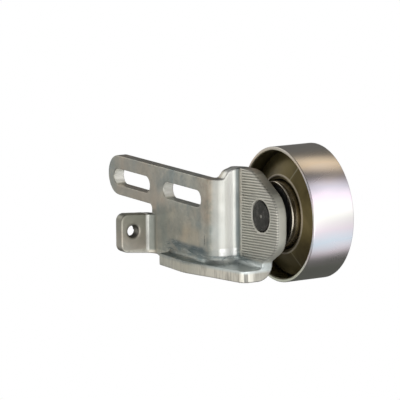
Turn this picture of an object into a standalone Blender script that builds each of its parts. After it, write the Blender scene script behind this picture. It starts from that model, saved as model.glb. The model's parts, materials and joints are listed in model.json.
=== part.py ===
"""Belt tensioner idler: a bent steel bracket with a riveted pin, a sealed ball bearing and a flat pulley.

Frame: the origin is on the flat back face of the slotted plate, midway between its two slots.
+X runs along the slots towards the pulley, +Y along the pulley's axis away from the bracket, +Z up.
"""
import math

import bmesh
import bpy
from mathutils import Matrix, Vector

MM = 0.001
GAP = 0.3 * MM

# Sheet of the bracket
SHEET = 6.35 * MM
JOG = 15.0 * MM
JOG_INNER_RADIUS = 3.0 * MM
JOG_FILLET = 3.5 * MM
JOG_REACH_ABOVE = 5.0 * MM
STRIP_X = 58.0 * MM

# Slotted arm
SLOT_PITCH = 53.0 * MM
SLOT_LENGTH = 38.8 * MM
SLOT_WIDTH = 9.0 * MM
ARM_LEFT = -52.1 * MM
ARM_TOP = 11.8 * MM
ARM_BOTTOM = -9.8 * MM
ARM_END_RADIUS = 10.8 * MM
NOTCH_X = -4.9 * MM
NOTCH_RADIUS = 2.5 * MM
WALL_FOOT = -36.9 * MM

# Threaded tab
TAB_FACE_X = -3.6 * MM
TAB_END_Y = -25.8 * MM
TAB_TOP = -13.3 * MM
TAB_FOOT = -34.0 * MM
TAB_TOP_SLOPE = 0.07
TAB_FOOT_SLOPE = 0.105
TAB_INNER_RADIUS = 3.8 * MM
TAB_CORNER = 4.0 * MM
TAB_HOLE_Y = -18.5 * MM
TAB_HOLE_Z = -23.1 * MM
TAB_HOLE_RADIUS = 3.4 * MM
TAB_CHAMFER_RADIUS = 4.0 * MM

# Pulley axis and the ribbed plate round it
AXIS_X = 80.5 * MM
AXIS_Z = -5.0 * MM
PLATE_TOP = 17.4 * MM
PLATE_RIGHT = AXIS_X + 15.2 * MM
PLATE_SLANT_FOOT = AXIS_Z - 15.2 * MM
PLATE_SLANT_HEAD = AXIS_Z + 8.4 * MM
PLATE_SLANT_TOP = AXIS_X - 9.2 * MM
PLATE_NECK_Z = AXIS_Z - 23.9 * MM
RIB_FACE_Y = JOG - SHEET
RIB_PITCH = 1.4 * MM
RIB_DEPTH = 0.35 * MM
RIB_GROOVE_WIDTH = 0.8 * MM
RIB_SLOPE = math.radians(4.0)
RIB_COUNT = 31
RIB_LIFT = 0.1 * MM
RIB_RING_RADIUS = 9.3 * MM
PIN_HOLE_RADIUS = 8.3 * MM

# Bottom flange
FLANGE_TOP = -32.4 * MM
FLANGE_LEFT = 14.0 * MM
FLANGE_RIGHT = AXIS_X + 1.6 * MM
FLANGE_LEFT_DEPTH = -13.4 * MM
FLANGE_RIGHT_DEPTH = -2.6 * MM
FLANGE_FILLET = 2.5 * MM
FLANGE_LEG = 3.3 * MM
FLANGE_SEAM = 2.9 * MM

# Bearing, 15 x 35 x 14 mm
BEARING_FRONT = JOG + 2.0 * MM
BEARING_WIDTH = 14.0 * MM
BEARING_RADIUS = 17.5 * MM
BORE_RADIUS = 7.5 * MM
BALL_COUNT = 8
BALL_RADIUS = 2.975 * MM
BALL_PITCH_RADIUS = 12.5 * MM
INNER_SHOULDER = 10.0 * MM
OUTER_SHOULDER = 15.0 * MM
RING_CHAMFER = 0.6 * MM
OUTER_LIP = 15.6 * MM
SEAL_WIDTH = 1.6 * MM
SEAL_RECESS = 0.4 * MM
SEAL_DISH = 0.35 * MM
CAGE_THICKNESS = 0.6 * MM
CAGE_HALF_WIDTH = 0.9 * MM

# Pulley
RIM_RADIUS = 35.0 * MM
RIM_WALL = 2.0 * MM
RIM_FRONT = JOG + 3.7 * MM
RIM_WIDTH = 24.0 * MM
RIM_CHAMFER = 0.5 * MM
WEB_SHEET = 2.0 * MM
WEB_CREST_Y = JOG + 5.45 * MM
WEB_ROOT_Y = JOG + 11.6 * MM
WEB_ROOT_RADIUS = 2.4 * MM
WEB_CREST_RADIUS = 1.6 * MM
WEB_SKIRT_END = JOG + 20.0 * MM
WEB_LIP = 2.2 * MM

# Pin and what keeps the bearing on it
PIN_HEAD_RADIUS = 8.0 * MM
PIN_SHOULDER_RADIUS = 10.0 * MM
PIN_END_Y = JOG + 21.0 * MM
PIN_DIMPLE_RADIUS = 1.1 * MM
PIN_DIMPLE_DEPTH = 0.7 * MM
CIRCLIP_GROOVE_DEPTH = 0.7 * MM
WASHER_THICKNESS = 1.0 * MM
CIRCLIP_THICKNESS = 1.0 * MM

RIM_STEPS = 80
WEB_STEPS = 32
RING_STEPS = 36

BEARING_REAR = BEARING_FRONT + BEARING_WIDTH
BALL_Y = BEARING_FRONT + BEARING_WIDTH / 2.0
WASHER_FRONT = BEARING_REAR + GAP
CIRCLIP_FRONT = WASHER_FRONT + WASHER_THICKNESS + GAP


def clear_scene():
    for found in list(bpy.data.objects):
        bpy.data.objects.remove(found, do_unlink=True)


def new_collection(name):
    collection = bpy.data.collections.new(name)
    bpy.context.scene.collection.children.link(collection)
    return collection


def new_material(name, colour, roughness, metallic):
    material = bpy.data.materials.new(name)
    material.use_nodes = True
    shader = material.node_tree.nodes["Principled BSDF"]
    shader.inputs["Base Color"].default_value = (*colour, 1.0)
    shader.inputs["Roughness"].default_value = roughness
    shader.inputs["Metallic"].default_value = metallic
    return material


def put(name, mesh, collection, material=None, parent=None):
    """Make an object of a mesh, in a collection, with a material and a parent."""
    thing = bpy.data.objects.new(name, mesh)
    collection.objects.link(thing)
    if material:
        mesh.materials.append(material)
    if parent:
        thing.parent = parent
    return thing


def mesh_from(bm, name):
    bmesh.ops.recalc_face_normals(bm, faces=bm.faces)
    mesh = bpy.data.meshes.new(name)
    bm.to_mesh(mesh)
    bm.free()
    return mesh


def arc(centre, radius, start, end, steps):
    """Points on an arc about a 2D centre, angles in degrees."""
    angles = [math.radians(start + (end - start) * i / steps) for i in range(steps + 1)]
    return [(centre[0] + radius * math.cos(a), centre[1] + radius * math.sin(a)) for a in angles]


def rounded(corners, closed=True, step_degrees=12.0):
    """Polygon or polyline whose corners (x, y, radius) are replaced by tangent arcs."""
    points = []
    count = len(corners)
    for i, (x, y, radius) in enumerate(corners):
        at = Vector((x, y))
        if radius == 0.0 or (not closed and i in (0, count - 1)):
            points.append((x, y))
            continue
        back = (Vector(corners[i - 1][:2]) - at).normalized()
        ahead = (Vector(corners[(i + 1) % count][:2]) - at).normalized()
        half = back.angle(ahead) / 2.0
        centre = at + (back + ahead).normalized() * radius / math.sin(half)
        first = at + back * radius / math.tan(half) - centre
        last = at + ahead * radius / math.tan(half) - centre
        turn = first.angle_signed(last)
        steps = max(2, round(math.degrees(abs(turn)) / step_degrees))
        for k in range(steps + 1):
            spoke = Matrix.Rotation(-turn * k / steps, 2) @ first
            points.append(tuple(centre + spoke))
    return points


def prism(name, outline, low, high, axis):
    """Closed extrusion of a 2D outline along a world axis: X takes (y, z), Y takes (x, z), Z takes (x, y)."""
    place = {
        "X": lambda a, b, along: (along, a, b),
        "Y": lambda a, b, along: (a, along, b),
        "Z": lambda a, b, along: (a, b, along),
    }[axis]
    bm = bmesh.new()
    face = bm.faces.new([bm.verts.new(place(a, b, low)) for a, b in outline])
    made = bmesh.ops.extrude_face_region(bm, geom=[face])
    raised = [v for v in made["geom"] if isinstance(v, bmesh.types.BMVert)]
    bmesh.ops.translate(bm, vec=place(0.0, 0.0, high - low), verts=raised)
    return mesh_from(bm, name)


def boolean(target, operation, other):
    modifier = target.modifiers.new(f"{operation.lower()} {other.name}", "BOOLEAN")
    modifier.operation = operation
    modifier.solver = "EXACT"
    modifier.object = other


def as_cutter(thing):
    thing.hide_render = True
    thing.display_type = "WIRE"
    return thing


def sweep(name, section, moves):
    """Sweep a section (points in world space) through moves: (steps, turn about vertical, centre, shift)."""
    bm = bmesh.new()
    start = bm.faces.new([bm.verts.new(point) for point in section])
    front = start
    for steps, turn, centre, shift in moves:
        step_turn = Matrix.Rotation(turn / steps, 3, "Z")
        for _ in range(steps):
            made = bmesh.ops.extrude_face_region(bm, geom=[front])["geom"]
            if front is not start:
                bmesh.ops.delete(bm, geom=[front], context="FACES_ONLY")
            front = next(item for item in made if isinstance(item, bmesh.types.BMFace))
            bmesh.ops.rotate(bm, cent=centre, matrix=step_turn, verts=front.verts)
            bmesh.ops.translate(bm, vec=shift, verts=front.verts)
    return mesh_from(bm, name)


def turned(name, profile, steps, collection, material, parent):
    """Turned piece: (radius, distance along the axis) turned round the pulley's axis."""
    area = sum(r0 * y1 - r1 * y0 for (r0, y0), (r1, y1) in zip(profile, profile[1:] + profile[:1]))
    if area > 0.0:
        profile = profile[::-1]
    mesh = bpy.data.meshes.new(name)
    edges = [(i, i + 1) for i in range(len(profile) - 1)]
    if profile[0][0] > 0.0:
        edges.append((len(profile) - 1, 0))
    mesh.from_pydata([(radius, 0.0, along) for radius, along in profile], edges, [])
    thing = put(name, mesh, collection, material, parent)
    add_screw(thing, steps)
    return thing


def add_screw(thing, steps):
    screw = thing.modifiers.new("turn", "SCREW")
    screw.axis = "Z"
    screw.angle = math.tau
    screw.steps = steps
    screw.render_steps = steps
    screw.use_merge_vertices = True
    screw.merge_threshold = 0.00001
    screw.use_smooth_shade = True


def jog_path_offset(distance):
    """Plan line of the slotted plate, the jog and the ribbed plate, moved forward by a distance."""
    bend = JOG_INNER_RADIUS + SHEET
    bend_centre = (STRIP_X - bend, -SHEET + bend)
    fillet_centre = (STRIP_X + JOG_FILLET, RIB_FACE_Y - JOG_FILLET)
    line = arc(bend_centre, bend + distance, -90.0, 0.0, 8)
    line += arc(fillet_centre, JOG_FILLET - distance, 180.0, 90.0, 1)
    return line


def make_jog(guides):
    """The wall that steps back from the slotted plate to the ribbed plate, with the flange's root bend."""
    front = -SHEET
    fillet_top = FLANGE_TOP + FLANGE_FILLET
    top = PLATE_TOP + JOG_REACH_ABOVE
    hollow = arc((FLANGE_FILLET, fillet_top), FLANGE_FILLET, 180.0, 270.0, 5)
    belly = arc((FLANGE_FILLET, fillet_top), FLANGE_FILLET + SHEET, 270.0, 180.0, 7)
    leg = [(FLANGE_LEG, FLANGE_TOP), (FLANGE_LEG, FLANGE_TOP - SHEET)]
    outline = [(0.0, top)] + hollow + leg + belly + [(-SHEET, top)]
    section = [(FLANGE_LEFT, front - forward, z) for forward, z in outline]
    bend = JOG_INNER_RADIUS + SHEET
    bend_centre = (STRIP_X - bend, front + bend, 0.0)
    fillet_centre = (STRIP_X + JOG_FILLET, RIB_FACE_Y - JOG_FILLET, 0.0)
    still = (0.0, 0.0, 0.0)
    quarter = math.pi / 2.0
    moves = [
        (1, 0.0, still, (STRIP_X - bend - FLANGE_LEFT, 0.0, 0.0)),
        (8, quarter, bend_centre, still),
        (1, 0.0, still, (0.0, JOG - bend - JOG_FILLET, 0.0)),
        (5, -quarter, fillet_centre, still),
        (1, 0.0, still, (PLATE_RIGHT + 2.0 * MM - STRIP_X - JOG_FILLET, 0.0, 0.0)),
    ]
    jog = as_cutter(put("jog_wall", sweep("jog_wall", section, moves), guides))

    below = FLANGE_TOP - 2.0 * SHEET
    outline = rounded([
        (FLANGE_RIGHT, below, 0.0),
        (FLANGE_RIGHT, PLATE_NECK_Z, 1.8 * MM),
        (PLATE_RIGHT, PLATE_SLANT_FOOT, 12.0 * MM),
        (PLATE_RIGHT, PLATE_SLANT_HEAD, 14.0 * MM),
        (PLATE_SLANT_TOP, PLATE_TOP, 12.0 * MM),
        (FLANGE_LEFT - 5.0 * MM, PLATE_TOP, 0.0),
        (FLANGE_LEFT - 5.0 * MM, below, 0.0),
    ])
    keep = as_cutter(put("plate_outline", prism("plate_outline", outline, -20.0 * MM, 30.0 * MM, "Y"), guides))
    boolean(jog, "INTERSECT", keep)

    ramp = rounded([
        (-20.0 * MM, ARM_TOP, 0.0),
        (0.7 * MM, ARM_TOP, 0.8 * MM),
        (3.1 * MM, ARM_TOP + 3.6 * MM, 4.0 * MM),
        (8.6 * MM, PLATE_TOP + 0.01 * MM, 5.0 * MM),
        (30.0 * MM, PLATE_TOP + 0.01 * MM, 0.0),
        (30.0 * MM, 40.0 * MM, 0.0),
        (-20.0 * MM, 40.0 * MM, 0.0),
    ])
    shave = as_cutter(put("jog_top", prism("jog_top", ramp, 5.0 * MM, STRIP_X + 10.0 * MM, "X"), guides))
    boolean(jog, "DIFFERENCE", shave)
    return jog


def make_flange(guides):
    seam = jog_path_offset(FLANGE_SEAM)
    corners = [
        (FLANGE_RIGHT, RIB_FACE_Y - FLANGE_SEAM, 0.0),
        (FLANGE_RIGHT, FLANGE_RIGHT_DEPTH, 5.2 * MM),
        (59.5 * MM, -8.3 * MM, 40.0 * MM),
        (40.5 * MM, -13.9 * MM, 22.0 * MM),
        (FLANGE_LEFT, FLANGE_LEFT_DEPTH, 1.2 * MM),
        (FLANGE_LEFT, -SHEET - FLANGE_SEAM, 0.0),
    ]
    outline = rounded(corners, step_degrees=9.0) + seam
    mesh = prism("flange", outline, FLANGE_TOP - SHEET, FLANGE_TOP, "Z")
    return as_cutter(put("flange", mesh, guides))


def make_tab(guides):
    """Tab bent forward from the slotted plate's lower end, its outline tapered along Y."""
    bend = TAB_INNER_RADIUS + SHEET
    centre_x = TAB_FACE_X + TAB_INNER_RADIUS
    centre_y = -SHEET - TAB_INNER_RADIUS
    join_x = centre_x + 4.0 * MM
    outline = [(TAB_FACE_X - SHEET, TAB_END_Y), (TAB_FACE_X, TAB_END_Y)]
    outline += arc((centre_x, centre_y), TAB_INNER_RADIUS, 180.0, 90.0, 7)
    outline += [(join_x, -SHEET), (join_x, 0.0)]
    outline += arc((centre_x, centre_y), bend, 90.0, 180.0, 9)
    mesh = prism("tab", outline, WALL_FOOT - 5.0 * MM, 0.0, "Z")
    tab = as_cutter(put("tab", mesh, guides))
    past = 1.0 * MM
    run = past - TAB_END_Y
    shape = rounded([
        (TAB_END_Y, TAB_FOOT, TAB_CORNER),
        (past, TAB_FOOT - TAB_FOOT_SLOPE * run, 0.0),
        (past, TAB_TOP - TAB_TOP_SLOPE * run, 0.0),
        (TAB_END_Y, TAB_TOP, TAB_CORNER),
    ])
    keep = as_cutter(put("tab_outline", prism("tab_outline", shape, -30.0 * MM, 20.0 * MM, "X"), guides))
    boolean(tab, "INTERSECT", keep)
    return tab


def make_slotted_plate(collection, material):
    notch_floor = TAB_TOP + TAB_TOP_SLOPE * TAB_END_Y - 1.0 * MM
    wall_left = TAB_FACE_X + TAB_INNER_RADIUS + 1.0 * MM
    wall_foot = WALL_FOOT + 0.2 * MM
    step_x = FLANGE_LEFT + 0.6 * MM
    step_z = FLANGE_TOP + FLANGE_FILLET + 1.0 * MM
    join_x = FLANGE_LEFT + 3.0 * MM
    outline = rounded([
        (ARM_LEFT, ARM_TOP, ARM_END_RADIUS),
        (ARM_LEFT, ARM_BOTTOM, ARM_END_RADIUS),
        (NOTCH_X, ARM_BOTTOM, NOTCH_RADIUS),
        (NOTCH_X, notch_floor, 0.0),
        (wall_left, notch_floor, 0.0),
        (wall_left, wall_foot, 0.0),
        (step_x, wall_foot, 0.0),
        (step_x, step_z, 0.0),
        (join_x, step_z, 0.0),
        (join_x, ARM_TOP, 0.0),
    ], step_degrees=9.0)
    return put("bracket", prism("bracket", outline, -SHEET, 0.0, "Y"), collection, material)


def slot_cutter(name, centre_x, guides):
    half = SLOT_LENGTH / 2.0
    radius = SLOT_WIDTH / 2.0
    outline = arc((centre_x + half - radius, 0.0), radius, -90.0, 90.0, 12)
    outline += arc((centre_x - half + radius, 0.0), radius, 90.0, 270.0, 12)
    return as_cutter(put(name, prism(name, outline, -20.0 * MM, 10.0 * MM, "Y"), guides))


def round_cutter(name, radius, depth, guides):
    """Round bar along the pulley's axis, centred on the ribbed plate's face."""
    bm = bmesh.new()
    bmesh.ops.create_cone(bm, cap_ends=True, segments=40, radius1=radius, radius2=radius, depth=depth)
    cutter = as_cutter(put(name, mesh_from(bm, name), guides))
    cutter.location = (AXIS_X, RIB_FACE_Y, AXIS_Z)
    cutter.rotation_euler = (math.pi / 2.0, 0.0, 0.0)
    return cutter


def make_tab_hole(guides):
    """Cutter for the tab's hole along X, chamfered at both faces."""
    reach = SHEET / 2.0 + 1.0 * MM
    flare = TAB_CHAMFER_RADIUS + 1.0 * MM
    depth = SHEET / 2.0 - (TAB_CHAMFER_RADIUS - TAB_HOLE_RADIUS)
    profile = [
        (0.0, reach),
        (flare, reach),
        (TAB_HOLE_RADIUS, depth),
        (TAB_HOLE_RADIUS, -depth),
        (flare, -reach),
        (0.0, -reach),
    ]
    hole = as_cutter(turned("tab_hole", profile, 32, guides, None, None))
    hole.location = (TAB_FACE_X - SHEET / 2.0, TAB_HOLE_Y, TAB_HOLE_Z)
    hole.rotation_euler = (0.0, math.pi / 2.0, 0.0)
    return hole


def make_rib_cutter(guides):
    """Comb of V grooves in the ribbed plate's face, stopped short of the pin and of the jog's fillet."""
    bm = bmesh.new()
    start = STRIP_X + JOG_FILLET - AXIS_X + 0.4 * MM
    end = PLATE_RIGHT - AXIS_X + 3.0 * MM
    half = RIB_GROOVE_WIDTH / 2.0 * (1.0 + RIB_LIFT / RIB_DEPTH)
    first = -(RIB_COUNT // 2) - 1
    for row in range(first, first + RIB_COUNT):
        z = row * RIB_PITCH
        shape = [(start, -RIB_LIFT, z - half), (start, -RIB_LIFT, z + half), (start, RIB_DEPTH, z)]
        face = bm.faces.new([bm.verts.new(point) for point in shape])
        made = bmesh.ops.extrude_face_region(bm, geom=[face])["geom"]
        far_end = [v for v in made if isinstance(v, bmesh.types.BMVert)]
        bmesh.ops.translate(bm, vec=(end - start, 0.0, 0.0), verts=far_end)
    comb = as_cutter(put("rib_comb", mesh_from(bm, "rib_comb"), guides))
    comb.location = (AXIS_X, RIB_FACE_Y, AXIS_Z)
    comb.rotation_euler = (0.0, -RIB_SLOPE, 0.0)
    boolean(comb, "DIFFERENCE", round_cutter("rib_ring", RIB_RING_RADIUS, 4.0 * MM, guides))
    return comb


def make_bracket(collection, guides, material):
    bracket = make_slotted_plate(collection, material)
    for piece in (make_jog(guides), make_flange(guides), make_tab(guides)):
        boolean(bracket, "UNION", piece)
    boolean(bracket, "DIFFERENCE", slot_cutter("slot_outer", -SLOT_PITCH / 2.0, guides))
    boolean(bracket, "DIFFERENCE", slot_cutter("slot_inner", SLOT_PITCH / 2.0, guides))
    boolean(bracket, "DIFFERENCE", round_cutter("pin_hole", PIN_HOLE_RADIUS, 30.0 * MM, guides))
    boolean(bracket, "DIFFERENCE", make_tab_hole(guides))
    weld = bracket.modifiers.new("weld", "WELD")
    weld.merge_threshold = 0.00001
    flats = bracket.modifiers.new("join flats", "DECIMATE")
    flats.decimate_type = "DISSOLVE"
    flats.angle_limit = math.radians(0.5)
    boolean(bracket, "DIFFERENCE", make_rib_cutter(guides))


def make_pin(collection, material, parent):
    """Riveted pin: flat head in the bracket, shoulder behind it, journal, circlip groove and end."""
    journal = BORE_RADIUS - GAP
    groove = journal - CIRCLIP_GROOVE_DEPTH
    shoulder_front = JOG + GAP
    shoulder_rear = BEARING_FRONT - GAP
    groove_front = CIRCLIP_FRONT - 0.15 * MM
    groove_rear = CIRCLIP_FRONT + CIRCLIP_THICKNESS + 0.15 * MM
    chamfer = 0.8 * MM
    front = RIB_FACE_Y - 0.2 * MM
    edge = 0.4 * MM
    profile = [
        (0.0, PIN_END_Y),
        (journal - chamfer, PIN_END_Y),
        (journal, PIN_END_Y - chamfer),
        (journal, groove_rear),
        (groove, groove_rear),
        (groove, groove_front),
        (journal, groove_front),
        (journal, shoulder_rear),
        (PIN_SHOULDER_RADIUS, shoulder_rear),
        (PIN_SHOULDER_RADIUS, shoulder_front),
        (PIN_HEAD_RADIUS, shoulder_front),
        (PIN_HEAD_RADIUS, front + edge),
        (PIN_HEAD_RADIUS - edge, front),
        (PIN_DIMPLE_RADIUS, front),
        (0.0, front + PIN_DIMPLE_DEPTH),
    ]
    turned("pivot_pin", profile, RING_STEPS, collection, material, parent)


def ball_groove(radius_sign, shoulder, steps=4):
    """Raceway points between two shoulders, from rear to front, about the ball's centre."""
    track = BALL_RADIUS + GAP
    reach = abs(BALL_PITCH_RADIUS - shoulder)
    span = math.sqrt(track * track - reach * reach)
    points = []
    for i in range(steps + 1):
        along = span * (1.0 - 2.0 * i / steps)
        depth = math.sqrt(track * track - along * along)
        points.append((BALL_PITCH_RADIUS + radius_sign * depth, BALL_Y + along))
    return points


def make_bearing_rings(collection, steel, fixed, spinning):
    seal_room = SEAL_RECESS + SEAL_WIDTH + GAP
    inner = [(BORE_RADIUS, BEARING_FRONT + RING_CHAMFER), (BORE_RADIUS, BEARING_REAR - RING_CHAMFER)]
    inner += [(BORE_RADIUS + RING_CHAMFER, BEARING_REAR), (INNER_SHOULDER, BEARING_REAR)]
    inner += ball_groove(-1.0, INNER_SHOULDER)
    inner += [(INNER_SHOULDER, BEARING_FRONT), (BORE_RADIUS + RING_CHAMFER, BEARING_FRONT)]
    turned("bearing_inner_ring", inner, RING_STEPS, collection, steel, fixed)
    lip = OUTER_LIP
    outer = [(BEARING_RADIUS, BEARING_REAR - RING_CHAMFER), (BEARING_RADIUS, BEARING_FRONT + RING_CHAMFER)]
    outer += [(BEARING_RADIUS - RING_CHAMFER, BEARING_FRONT), (lip, BEARING_FRONT)]
    outer += [(lip, BEARING_FRONT + seal_room), (OUTER_SHOULDER, BEARING_FRONT + seal_room)]
    outer += list(reversed(ball_groove(1.0, OUTER_SHOULDER)))
    outer += [(OUTER_SHOULDER, BEARING_REAR - seal_room), (lip, BEARING_REAR - seal_room)]
    outer += [(lip, BEARING_REAR), (BEARING_RADIUS - RING_CHAMFER, BEARING_REAR)]
    turned("bearing_outer_ring", outer, RING_STEPS, collection, steel, spinning)


def make_seal(name, outer_face, inward, collection, material, parent):
    """Rubber lip seal: a dished ring that sits in the outer ring's lip; inward is +1 or -1 along the axis."""
    low = INNER_SHOULDER + GAP
    high = OUTER_LIP - GAP
    face = outer_face + inward * SEAL_RECESS
    step = inward * SEAL_DISH
    back = face + inward * SEAL_WIDTH
    profile = [
        (high, back),
        (high, face + step),
        (high - SEAL_DISH, face),
        (high - 1.1 * MM, face),
        (high - 1.4 * MM, face + step),
        (low + 1.1 * MM, face + step),
        (low + 0.8 * MM, face),
        (low, face),
        (low, back),
    ]
    turned(name, profile, RING_STEPS, collection, material, parent)


def make_balls(collection, material, parent):
    bm = bmesh.new()
    bmesh.ops.create_uvsphere(bm, u_segments=14, v_segments=8, radius=BALL_RADIUS)
    mesh = mesh_from(bm, "ball")
    mesh.materials.append(material)
    mesh.shade_smooth()
    for i in range(BALL_COUNT):
        angle = math.tau * i / BALL_COUNT
        ball = put(f"ball_{i + 1:02d}", mesh, collection, None, parent)
        ball.location = (BALL_PITCH_RADIUS * math.cos(angle), BALL_PITCH_RADIUS * math.sin(angle), BALL_Y)


def make_cage_half(name, side, collection, material, parent):
    """Pressed ribbon that steps over the balls; side is -1 for the front half and +1 for the rear half."""
    pocket = BALL_RADIUS + 0.3 * MM
    per_ball = 10
    total = BALL_COUNT * per_ball
    bm = bmesh.new()
    rows = []
    for i in range(total):
        angle = math.tau * i / total
        from_ball = (i % per_ball) / per_ball
        from_ball = min(from_ball, 1.0 - from_ball)
        along = from_ball * math.tau / BALL_COUNT * BALL_PITCH_RADIUS
        rise = math.sqrt(max(pocket * pocket - along * along, 0.0))
        height = BALL_Y + side * max(rise, 0.5 * GAP)
        row = []
        for radius in (BALL_PITCH_RADIUS - CAGE_HALF_WIDTH, BALL_PITCH_RADIUS + CAGE_HALF_WIDTH):
            row.append(bm.verts.new((radius * math.cos(angle), radius * math.sin(angle), height)))
        rows.append(row)
    for i, (inner, outer) in enumerate(rows):
        next_inner, next_outer = rows[(i + 1) % total]
        corners = (inner, outer, next_outer, next_inner)
        bm.faces.new(corners if side > 0.0 else corners[::-1])
    mesh = bpy.data.meshes.new(name)
    bm.to_mesh(mesh)
    bm.free()
    half = put(name, mesh, collection, material, parent)
    shell = half.modifiers.new("sheet", "SOLIDIFY")
    shell.thickness = CAGE_THICKNESS
    shell.offset = 1.0


def make_rim(collection, material, parent):
    inside = RIM_RADIUS - RIM_WALL
    rear = RIM_FRONT + RIM_WIDTH
    profile = [
        (RIM_RADIUS, rear - RIM_CHAMFER),
        (RIM_RADIUS, RIM_FRONT + RIM_CHAMFER),
        (RIM_RADIUS - RIM_CHAMFER, RIM_FRONT),
        (inside + RIM_CHAMFER, RIM_FRONT),
        (inside, RIM_FRONT + RIM_CHAMFER),
        (inside, rear - RIM_CHAMFER),
        (inside + RIM_CHAMFER, rear),
        (RIM_RADIUS - RIM_CHAMFER, rear),
    ]
    turned("pulley_rim", profile, RIM_STEPS, collection, material, parent)


def make_web(collection, material, parent):
    """Pressed disc: skirt inside the rim, cone up to the hub's crest, hub tube and a lip behind the bearing."""
    skirt = RIM_RADIUS - RIM_WALL - GAP
    seat = BEARING_RADIUS + GAP
    lip_y = BEARING_REAR + GAP
    line = rounded([
        (skirt, WEB_SKIRT_END, 0.0),
        (skirt, WEB_ROOT_Y, WEB_ROOT_RADIUS),
        (seat + 2.6 * MM, WEB_CREST_Y + 0.15 * MM, WEB_CREST_RADIUS),
        (seat + 0.6 * MM, WEB_CREST_Y - 0.25 * MM, WEB_CREST_RADIUS),
        (seat, WEB_CREST_Y + 2.6 * MM, WEB_CREST_RADIUS),
        (seat, lip_y, 0.0),
        (seat - WEB_LIP, lip_y, 0.0),
    ], closed=False, step_degrees=40.0)
    mesh = bpy.data.meshes.new("pulley_web")
    edges = [(i, i + 1) for i in range(len(line) - 1)]
    mesh.from_pydata([(radius, 0.0, along) for radius, along in line], edges, [])
    web = put("pulley_web", mesh, collection, material, parent)
    add_screw(web, WEB_STEPS)
    shell = web.modifiers.new("sheet", "SOLIDIFY")
    shell.thickness = WEB_SHEET
    shell.offset = -1.0
    shell.use_even_offset = True


def make_retainers(collection, material, dark, parent):
    outer = INNER_SHOULDER + 0.4 * MM
    back = WASHER_FRONT + WASHER_THICKNESS
    washer = [(outer, back), (outer, WASHER_FRONT), (BORE_RADIUS, WASHER_FRONT), (BORE_RADIUS, back)]
    turned("thrust_washer", washer, RING_STEPS, collection, material, parent)
    inner = BORE_RADIUS - CIRCLIP_GROOVE_DEPTH
    outer = BORE_RADIUS + 1.5 * MM
    back = CIRCLIP_FRONT + CIRCLIP_THICKNESS
    bm = bmesh.new()
    sweep_half = 160.0
    outline = arc((0.0, 0.0), outer, -sweep_half, sweep_half, 32)
    outline += arc((0.0, 0.0), inner, sweep_half, -sweep_half, 32)
    face = bm.faces.new([bm.verts.new((a, b, CIRCLIP_FRONT)) for a, b in outline])
    made = bmesh.ops.extrude_face_region(bm, geom=[face])["geom"]
    raised = [v for v in made if isinstance(v, bmesh.types.BMVert)]
    bmesh.ops.translate(bm, vec=(0.0, 0.0, back - CIRCLIP_FRONT), verts=raised)
    put("retaining_ring", mesh_from(bm, "retaining_ring"), collection, dark, parent)


def axis_empty(name, collection):
    """Empty on the pulley's axis whose local +Z runs along world +Y."""
    empty = bpy.data.objects.new(name, None)
    empty.location = (AXIS_X, 0.0, AXIS_Z)
    empty.rotation_euler = (-math.pi / 2.0, 0.0, 0.0)
    collection.objects.link(empty)
    return empty


def build():
    clear_scene()
    parts = new_collection("belt_tensioner_idler")
    guides = new_collection("cutters")
    zinc = new_material("zinc plated steel", (0.36, 0.36, 0.33), 0.38, 0.9)
    bright = new_material("polished zinc rim", (0.62, 0.60, 0.58), 0.22, 1.0)
    olive = new_material("passivated steel web", (0.10, 0.085, 0.045), 0.45, 0.8)
    dark = new_material("dark pin steel", (0.06, 0.06, 0.055), 0.5, 0.7)
    steel = new_material("bearing steel", (0.45, 0.44, 0.42), 0.25, 1.0)
    rubber = new_material("black seal rubber", (0.012, 0.012, 0.011), 0.6, 0.0)

    fixed = axis_empty("pin_axis", parts)
    spinning = axis_empty("pulley_axis", parts)
    rolling = axis_empty("cage_axis", parts)

    make_bracket(parts, guides, zinc)
    make_pin(parts, dark, fixed)
    make_bearing_rings(parts, steel, fixed, spinning)
    make_balls(parts, steel, rolling)
    make_cage_half("cage_front", -1.0, parts, steel, rolling)
    make_cage_half("cage_rear", 1.0, parts, steel, rolling)
    make_seal("seal_front", BEARING_FRONT, 1.0, parts, rubber, spinning)
    make_seal("seal_rear", BEARING_REAR, -1.0, parts, rubber, spinning)
    make_rim(parts, bright, spinning)
    make_web(parts, olive, spinning)
    make_retainers(parts, steel, dark, fixed)


build()
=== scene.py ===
"""Looks of the belt tensioner idler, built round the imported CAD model.

Row frame: the origin is on the slotted plate's back face, +X along the slots towards the pulley,
+Y along the pulley's axis away from the bracket, +Z up. Lengths are in metres unless a comment says
millimetres.
"""
import json
import math
from collections import namedtuple

import bmesh
import bpy
import numpy as np
from mathutils import Matrix, Vector


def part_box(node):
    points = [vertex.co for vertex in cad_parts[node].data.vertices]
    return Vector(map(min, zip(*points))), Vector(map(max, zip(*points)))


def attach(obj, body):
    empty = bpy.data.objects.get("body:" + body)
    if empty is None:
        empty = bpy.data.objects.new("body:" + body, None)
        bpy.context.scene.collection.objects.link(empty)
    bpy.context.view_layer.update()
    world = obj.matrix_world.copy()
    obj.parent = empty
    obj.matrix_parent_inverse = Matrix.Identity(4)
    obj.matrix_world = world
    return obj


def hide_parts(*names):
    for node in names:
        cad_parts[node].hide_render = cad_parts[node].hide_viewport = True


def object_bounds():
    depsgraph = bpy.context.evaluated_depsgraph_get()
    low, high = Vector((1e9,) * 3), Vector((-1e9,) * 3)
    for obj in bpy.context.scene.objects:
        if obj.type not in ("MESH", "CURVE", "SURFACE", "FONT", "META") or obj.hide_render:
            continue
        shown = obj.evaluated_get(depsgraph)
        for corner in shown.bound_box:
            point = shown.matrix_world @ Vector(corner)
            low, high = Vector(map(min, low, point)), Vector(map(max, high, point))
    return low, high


MM = 0.001

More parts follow.
